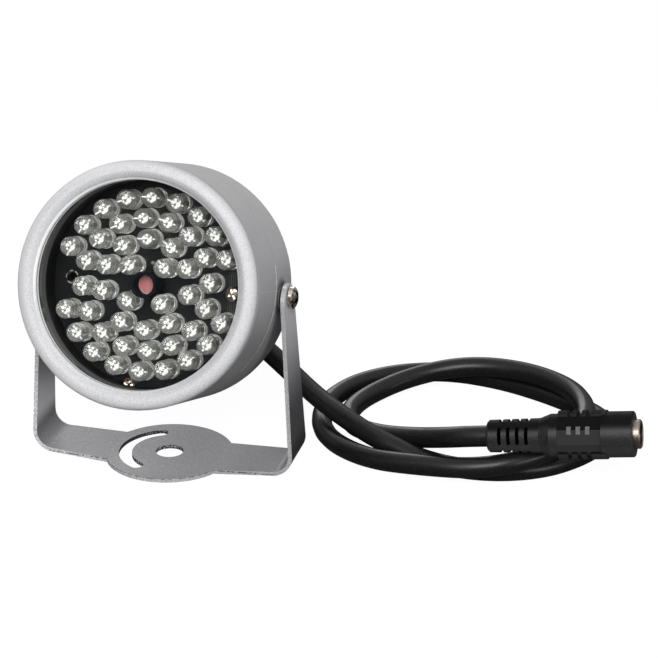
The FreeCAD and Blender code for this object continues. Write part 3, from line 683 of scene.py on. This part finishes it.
def solder_mask():
    """Black solder mask over etched copper: a half-gloss black with faint raised tracks, rows of
    tinned dots at the board's right, and a thin tinned ring round the bare hole at its left."""
    made = new_material("Black solder mask")
    place = in_frame(made, object_place(made), HEAD)
    tracks = add(made, "ShaderNodeTexBrick", {
        "Vector": place, "Color1": (1, 1, 1, 1), "Color2": (0.9, 0.9, 0.9, 1), "Mortar": (0, 0, 0, 1),
        "Scale": 1 / (3.2 * MM), "Mortar Size": 0.06, "Bias": 0.0}).outputs["Color"]
    mask = ramp_of(made, tracks, [(0.0, linear("060608")), (1.0, linear("0C0C0F"))])
    from_hole = vector_maths(made, "DISTANCE", place, BARE_HOLE)["Value"]
    worn = beyond(made, noise_of(made, place, 1.6), 0.5)
    ring = times(made, times(made, near(made, from_hole, BARE_HOLE_RADIUS, 0.14 * MM), worn), 0.6)
    dot = below(made, cells_of(made, place, 0.5, 0.0), 0.3)
    dots = times(made, times(made, dot, near(made, split(made, place)["X"], 22 * MM, 3 * MM)), 0.3)
    tinned = over(made, maths(made, "MAXIMUM", ring, dots), mask, linear("C8C8C4"))
    shader = add(made, "ShaderNodeBsdfPrincipled", {
        "Base Color": tinned, "Roughness": 0.42, "Specular IOR Level": 0.15,
        "Normal": relief_of(made, tracks, 0.4, 0.03)})
    return close(made, shader)


def spacer_plastic():
    """Moulded ABS of the ring between glass and board: black, with a dull grey step next to the glass."""
    made = new_material("Moulded black ABS with a grey step")
    where = object_place(made)
    step = beyond(made, split(made, in_frame(made, where, HEAD))["Z"], SPACER_FRONT)
    black = ramp_of(made, noise_of(made, where, 0.5), [(0.35, linear("070707")), (0.7, linear("0D0D0D"))])
    shader = add(made, "ShaderNodeBsdfPrincipled", {
        "Base Color": over(made, step, black, linear("727270")), "Roughness": 0.5, "Specular IOR Level": 0.2})
    return close(made, shader)


def jack_moulding(settings):
    """Spark-textured PVC: grainy with a soft sheen at both ends, smooth and darker between the
    grips, with a parting line, a ribbed ring whose grooves are painted dark as shade, and painted black
    as shade in the depth of the strain relief's slots. What faces up is painted darker as shade and is
    duller, and what faces down is painted paler as light."""
    made = new_material("Spark-textured PVC moulding")
    where = object_place(made)
    place = in_frame(made, where, JACK)
    along, radius = split(made, place)["Z"], from_axis(made, place)
    spark = noise_of(made, where, 0.45, 2.0, 0.6)
    grainy = ramp_of(made, spark, [(0.35, shade(settings.jack, 0.8)), (0.7, shade(settings.jack, 1.7))])
    smooth = within(made, along, SMOOTH_START, SMOOTH_END)
    parting = times(made, smooth, near(made, split(made, place)["Y"], 0, 0.07 * MM))
    # Painted shade in the grooves of the ribbed ring.
    rib = below(made, maths(made, "FRACT", times(made, along, 1 / (0.55 * MM))), 0.4)
    rib_groove_shade = times(made, near(made, along, 14.3 * MM, 0.9 * MM), rib)
    # Painted shade: black in the depth of the slots.
    slots = times(made, below(made, radius, SLOT_RADIUS), below(made, along, RELIEF_END))
    # Painted shade on what faces up, and painted light on what faces down.
    facing = surface_normal(made)["Z"]
    upper = eased(made, facing, 0.45, 0.8)
    tone = layered(made, grainy, [
        (smooth, shade(settings.jack, 0.95)), (times(made, parting, 0.5), linear("4A4A4C")),
        (times(made, rib_groove_shade, 0.4), linear("060606")), (slots, linear("020202")),
        (times(made, upper, 0.75), linear("080808")),
        (eased(made, facing, 0.1, -0.6, 0.3), linear("5A5A5C"))])
    sheen = times(made, times(made, below(made, slots, 0.5), 0.25), eased(made, upper, 1.3, 0.0))
    shader = add(made, "ShaderNodeBsdfPrincipled", {
        "Base Color": tone, "Roughness": between(made, smooth, 0.42, 0.6), "Specular IOR Level": sheen,
        "Normal": relief_of(made, spark, 0.5, 0.04)})
    return close(made, shader)


def plain(name, tone, roughness, metallic=0.0):
    """A small part's finish, varied a little so that it doesn't look flat."""
    made = new_material(name)
    stir = noise_of(made, object_place(made), 0.5)
    tint = ramp_of(made, stir, [(0.35, shade(tone, 0.85)), (0.65, shade(tone, 1.1))])
    shader = add(made, "ShaderNodeBsdfPrincipled", {
        "Base Color": tint, "Roughness": roughness, "Metallic": metallic, "Specular IOR Level": 0.3})
    return close(made, shader)


def sensor_cell(settings):
    """Cadmium sulphide under clear resin: two salmon bars either side of a paler middle, and a pale
    rim where the resin runs down over the edge."""
    made = new_material("Cadmium sulphide cell under resin")
    place = in_frame(made, object_place(made), HEAD)
    out = maths(made, "ABSOLUTE", split(made, place)["X"])
    bars = mapped(made, out, 0.15 * MM, 0.75 * MM, 0.35)
    within_rim = mapped(made, from_axis(made, place), 2.25 * MM, 1.85 * MM)
    stretched = vector_maths(made, "MULTIPLY", place, (1, 0.35, 1))[0]
    grain = times(made, noise_of(made, stretched, 0.5), 0.5)
    amount = maths(made, "ADD", times(made, bars, within_rim), grain)
    tint = ramp_of(made, amount, [(0.2, linear("C4A69C")), (0.6, linear("C48A82")), (0.98, settings.sensor)])
    shader = add(made, "ShaderNodeBsdfPrincipled", {
        "Base Color": tint, "Roughness": 0.35, "Coat Weight": 0.15})
    return close(made, shader)


def white_sweep(settings):
    """White paper: it shows nearly white to the camera, and the object's shadow stays faint on it."""
    made = new_material("White paper sweep")
    paper = add(made, "ShaderNodeBsdfDiffuse", {"Color": (0.14, 0.14, 0.14, 1)})
    lift = times(made, seen(made), settings.floor)
    glow = add(made, "ShaderNodeEmission", {"Color": (1, 1, 1, 1), "Strength": lift})
    return close(made, add(made, "ShaderNodeAddShader", {0: paper.outputs[0], 1: glow.outputs[0]}))


# parts of an emitter

def emitter_lens(settings):
    """An emitter's clear body: a collar on the board, a slightly slimmer waist and a dome."""
    radius, height = settings.radius / MM, settings.height / MM
    waist = radius - 0.07
    collar = [(radius - 0.12, 0.02), (radius, 0.12), (radius, 0.95), (waist, 1.1)]
    rises = [math.radians(degrees) for degrees in range(0, 90, 9)]
    dome = [(waist * math.cos(rise), height - waist + waist * math.sin(rise)) for rise in rises]
    lens = turned("lens", collar + dome + [(0, height)], 36)
    return smoothed(painted(lens, clear_epoxy(settings)), 40)


def emitter_cup(radius, top, silver, copper):
    """The dish that holds the die, on its stem, with the bright spots painted as highlights and the dark
    spots seen in it.
    """
    shaded = plain("Silver plate in the cup's shade", linear("8C8C87"), 0.45, 0.1)
    dish = turned("cup", [(radius, top - 0.08), (radius, top), (0, top)], 20)
    stem = slab("stem", (-0.16, -0.16, 0.4), (0.16, 0.16, top - 0.1), 0.04)
    parts = [painted(dish, shaded), painted(stem, copper)]
    dark = plain("Gallium arsenide die", linear("343434"), 0.4)
    # The bright spots are painted highlights on the shaded dish.
    for x, y, size, look in CUP_SPOTS:
        spot = turned("spot", [(size, top - 0.05), (size, top + 0.02), (0, top + 0.02)], 10)
        moved(spot, Matrix.Translation(Vector((x, y, 0)) * MM))
        parts.append(painted(spot, silver if look == "bright" else dark))
    return joined(parts, "cup")


def emitter_posts(top, silver, copper):
    """The post that the bond wire lands on, with its leg, and the short anvil opposite."""
    return joined([
        painted(slab("post", (-0.09, 0.66, top - 0.4), (0.09, 1.42, top - 0.06), 0.04), silver),
        painted(slab("leg", (-0.12, 0.9, 0.4), (0.12, 1.2, top - 0.4), 0.04), copper),
        painted(slab("anvil", (-0.12, -1.1, top - 0.5), (0.12, -0.76, top - 0.16), 0.05), silver)],
        "posts")


# pieces

class IlluminatorOperator:
    bl_options = {"REGISTER", "UNDO"}


class ILLUMINATOR_OT_camera(IlluminatorOperator, bpy.types.Operator):
    """Adds the camera that sees the lamp from the front, a little from above and the right"""
    bl_idname = "illuminator.camera"
    bl_label = "Add Camera"

    def execute(self, context):
        lens = bpy.data.cameras.new("Camera")
        lens.lens = CAMERA_LENS
        lens.sensor_width = 36
        lens.clip_start = 0.01
        camera = bpy.data.objects.new("Camera", lens)
        context.collection.objects.link(camera)
        camera.matrix_world = axes(CAMERA_RIGHT, CAMERA_UP, CAMERA_BACK, CAMERA_PLACE)
        context.scene.camera = camera
        return {"FINISHED"}


class ILLUMINATOR_OT_lead(IlluminatorOperator, bpy.types.Operator):
    """Lays the black lead from the lamp's rear, round its loose turns, to the jack"""
    bl_idname = "illuminator.lead"
    bl_label = "Lay Lead"

    def execute(self, context):
        made = moulded_black("Extruded soft PVC", context.scene.finish_settings.lead, grain=0.9,
                             bump=0.012, roughness=0.31, sheen=0.26)
        curve = bpy.data.curves.new("lead", "CURVE")
        curve.dimensions = "3D"
        curve.resolution_u = 14
        spline = curve.splines.new("NURBS")
        spline.points.add(len(LEAD_ROUTE) - 1)
        for point, place in zip(spline.points, LEAD_ROUTE):
            point.co = (*(Vector(place) * MM), 1)
        spline.order_u = 3
        spline.use_endpoint_u = True
        guide = bpy.data.objects.new("lead_guide", curve)
        context.collection.objects.link(guide)
        context.view_layer.update()
        line = bpy.data.meshes.new_from_object(guide)
        curve.bevel_depth = LEAD_RADIUS * MM
        curve.bevel_resolution = 6
        curve.use_fill_caps = True
        context.view_layer.update()
        mesh = bpy.data.meshes.new_from_object(guide)
        lead = bpy.data.objects.new("lead", mesh)
        context.collection.objects.link(lead)
        bpy.data.objects.remove(guide)
        bpy.data.meshes.remove(line)
        painted(smoothed(lead, 50), made)
        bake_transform(lead)
        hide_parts("cord_flex", "cord_run")
        return {"FINISHED"}


class ILLUMINATOR_OT_body(IlluminatorOperator, bpy.types.Operator):
    """Finishes the bracket, the lamp body, its window and its fasteners"""
    bl_idname = "illuminator.body"
    bl_label = "Finish Body"

    def execute(self, context):
        settings = context.scene.finish_settings
        dress(bracket_finish(settings), "bracket")
        dress(housing_finish(settings), "front_housing", "rear_cover")
        dress(plated("Nickel plate on steel", shade(settings.nickel, 1.15), roughness=0.13),
              "board_screws", "housing_screws", "pivot_screw_left", "pivot_screw_right")
        dress(float_glass(), "front_glass")
        dress(solder_mask(), "led_board")
        dress(moulded_black("Moulded blue-black ABS", linear("141B1F"), grain=0.5, bump=0.01,
                            roughness=0.7, sheen=0.05), "photocell_sleeve")
        dress(moulded_black("Moulded black ABS", linear("0B0D0E"), grain=0.5, bump=0.01, roughness=0.5),
              "cable_tie", "pivot_spacer_left", "pivot_spacer_right")
        dress(spacer_plastic(), "spacer_ring")
        dress(moulded_black("Moulded black rubber", linear("141415"), grain=0.6, bump=0.015, roughness=0.55),
              "cable_boot", "housing_seal", "glass_gasket")
        dress(plain("Moulded epoxy package", linear("151515"), 0.45), "drive_transistor", "ballast_resistors")
        dress(moulded_black("Extruded PVC in the lamp", settings.lead, grain=0.9, bump=0.012, roughness=0.36),
              "cord_tail")
        dress(plain("Red wire insulation", linear("A81E18"), 0.4), "lead_red")
        dress(plain("Black wire insulation", linear("121212"), 0.4), "lead_black")
        return {"FINISHED"}


class ILLUMINATOR_OT_jack(IlluminatorOperator, bpy.types.Operator):
    """Finishes the moulded jack and adds the grey inlays on its sides"""
    bl_idname = "illuminator.jack"
    bl_label = "Finish Jack"

    def execute(self, context):
        settings = context.scene.finish_settings
        dress(jack_moulding(settings), "jack_body")
        dress(plated("Nickel plate on brass", shade(settings.nickel, 0.66), roughness=0.34),
              "jack_collar", "jack_pin")
        dress(moulded_black("Moulded black nylon", linear("0D0D0D"), grain=0.5, bump=0.01, roughness=0.5),
              "jack_insulator")
        marks = []
        for side in (-1, 1):
            for along in MARKS:
                low, high = sorted((side * MARK_FLOOR, side * MARK_FACE))
                marks.append(slab("mark", (low, -MARK_HALF_WIDTH, along - MARK_HALF_LENGTH),
                                  (high, MARK_HALF_WIDTH, along + MARK_HALF_LENGTH), 0.08))
        inlays = moved(joined(marks, "jack_marks"), JACK)
        painted(inlays, plain("Grey PVC inlay", linear("5C5C5E"), 0.5))
        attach(inlays, "bracket")
        return {"FINISHED"}


class ILLUMINATOR_OT_emitters(IlluminatorOperator, bpy.types.Operator):
    """Models one clear emitter with its cup and posts, and sets 48 of them in four rings"""
    bl_idname = "illuminator.emitters"
    bl_label = "Add Emitters"

    def execute(self, context):
        settings = context.scene.emitter_settings
        lens = emitter_lens(settings)
        silver = silver_plate(settings)
        copper = plain("Tinned copper in the epoxy", linear("7A7A74"), 0.5, 0.3)
        cup_top = settings.height / MM - settings.cup_depth / MM
        cup = emitter_cup(settings.cup_radius / MM, cup_top, silver, copper)
        posts = emitter_posts(cup_top, silver, copper)
        for ring, (ring_radius, angles) in EMITTER_RINGS.items():
            lenses, insides = [], []
            for angle in [math.radians(degrees) for degrees in angles]:
                spot = Vector((ring_radius * math.cos(angle), ring_radius * math.sin(angle), 0)) * MM
                spot.z = BOARD_FRONT
                upright = HEAD @ Matrix.Translation(spot)
                turned_out = upright @ Matrix.Rotation(angle, 4, "Z")
                lenses.append(copied(lens, turned_out))
                insides.append(copied(cup, upright))
                insides.append(copied(posts, turned_out))
            lens_ring = joined(lenses, ring.replace("emitters", "lenses"))
            inside_ring = joined(insides, ring.replace("emitters", "cups"))
            for shape in (lens_ring, inside_ring):
                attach(shape, "head")
            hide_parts(ring)
        for shape in (lens, cup, posts):
            bpy.data.objects.remove(shape)
        return {"FINISHED"}


class ILLUMINATOR_OT_sensor(IlluminatorOperator, bpy.types.Operator):
    """Finishes the light sensor's face and the small part above it"""
    bl_idname = "illuminator.sensor"
    bl_label = "Finish Sensor"

    def execute(self, context):
        settings = context.scene.finish_settings
        dress(sensor_cell(settings), "photocell")
        bead = turned("sensor_bead", [
            (0.42, 0.0), (0.5, 0.12), (0.5, 0.95), (0.42, 1.2), (0.25, 1.34), (0, 1.38)], 16)
        tip = moved(turned("tip", [(0.14, 0.0), (0.17, 0.1), (0.12, 0.24), (0, 0.28)], 10),
                    Matrix.Translation(Vector((0, -1.35, 0)) * MM))
        painted(smoothed(bead, 60), plain("Glass of the small diode", linear("8E8E8A"), 0.12, 0.4))
        painted(smoothed(tip, 60), plain("Solder", linear("D8D8D4"), 0.25, 0.6))
        low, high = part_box("sensor_resistor")
        centre = HEAD.inverted() @ ((Vector(low) + Vector(high)) / 2)
        whole = joined([bead, tip], "sensor_bead")
        moved(whole, HEAD @ Matrix.Translation((centre.x, centre.y, BOARD_FRONT)))
        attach(whole, "head")
        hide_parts("sensor_resistor")
        return {"FINISHED"}


class ILLUMINATOR_OT_stage(IlluminatorOperator, bpy.types.Operator):
    """Adds the white floor, the pale room and three softboxes"""
    bl_idname = "illuminator.stage"
    bl_label = "Add Stage"

    def floor(self, settings):
        deselect()
        bpy.ops.mesh.primitive_plane_add(size=FLOOR_SIZE, location=(0, 0, FLOOR_HEIGHT))
        floor = painted(bpy.context.object, white_sweep(settings))
        floor.name = "floor"

    def room(self, settings):
        """White where the camera sees it, dim as light, and paler toward the top in mirrors."""
        world = bpy.data.worlds.new("Studio")
        world.use_nodes = True
        world.node_tree.nodes.clear()
        rise = split(world, add(world, "ShaderNodeTexCoord").outputs["Generated"])["Z"]
        bands = ramp_of(world, rise, [
            (0.05, (0.25, 0.25, 0.25, 1)), (0.38, (0.38, 0.38, 0.38, 1)), (0.6, (1, 1, 1, 1))])
        glossy = add(world, "ShaderNodeLightPath").outputs["Is Glossy Ray"]
        soft = mapped(world, glossy, 0.0, 1.0, settings.ambient, times(world, bands, settings.mirrored))
        strength = between(world, seen(world), soft, 1.0)
        sky = add(world, "ShaderNodeBackground", {"Color": (1, 1, 1, 1), "Strength": strength})
        add(world, "ShaderNodeOutputWorld", {"Surface": sky.outputs[0]})
        return world

    def softbox(self, name, place, size, power):
        light = bpy.data.lights.new(name, "AREA")
        light.shape = "RECTANGLE"
        light.size, light.size_y = size
        light.energy = power
        box = bpy.data.objects.new(name, light)
        bpy.context.collection.objects.link(box)
        direction = Vector(place) - LIGHT_AIM
        box.matrix_world = Matrix.Translation(place) @ direction.to_track_quat("Z", "Y").to_matrix().to_4x4()

    def execute(self, context):
        settings = context.scene.stage_settings
        self.floor(settings)
        context.scene.world = self.room(settings)
        for name, (place, size, power) in SOFTBOXES.items():
            self.softbox(name, place, size, getattr(settings, power))
        context.scene.view_settings.view_transform = "Standard"
        return {"FINISHED"}


class ILLUMINATOR_PT_panel(bpy.types.Panel):
    bl_label = "Infrared Illuminator"
    bl_idname = "ILLUMINATOR_PT_panel"
    bl_space_type = "VIEW_3D"
    bl_region_type = "UI"
    bl_category = "Illuminator"

    def draw(self, context):
        scene = context.scene
        for group in (scene.emitter_settings, scene.finish_settings, scene.stage_settings):
            box = self.layout.box()
            for key in group.bl_rna.properties.keys():
                if key not in ("rna_type", "name"):
                    box.prop(group, key)
        for operator in OPERATORS:
            self.layout.operator(operator.bl_idname)


OPERATORS = (
    ILLUMINATOR_OT_camera,
    ILLUMINATOR_OT_lead,
    ILLUMINATOR_OT_body,
    ILLUMINATOR_OT_jack,
    ILLUMINATOR_OT_emitters,
    ILLUMINATOR_OT_sensor,
    ILLUMINATOR_OT_stage,
)
GROUPS = {
    "emitter_settings": EmitterSettings,
    "finish_settings": FinishSettings,
    "stage_settings": StageSettings,
}


def register():
    for name, group in GROUPS.items():
        bpy.utils.register_class(group)
        setattr(bpy.types.Scene, name, bpy.props.PointerProperty(type=group))
    for operator in OPERATORS:
        bpy.utils.register_class(operator)
    bpy.utils.register_class(ILLUMINATOR_PT_panel)


def unregister():
    bpy.utils.unregister_class(ILLUMINATOR_PT_panel)
    for operator in reversed(OPERATORS):
        bpy.utils.unregister_class(operator)
    for name, group in GROUPS.items():
        delattr(bpy.types.Scene, name)
        bpy.utils.unregister_class(group)


def main():
    register()
    bpy.ops.illuminator.camera()
    bpy.ops.illuminator.lead()
    bpy.ops.illuminator.body()
    bpy.ops.illuminator.jack()
    bpy.ops.illuminator.emitters()
    bpy.ops.illuminator.sensor()
    bpy.ops.illuminator.stage()


if __name__ == "__main__":
    main()
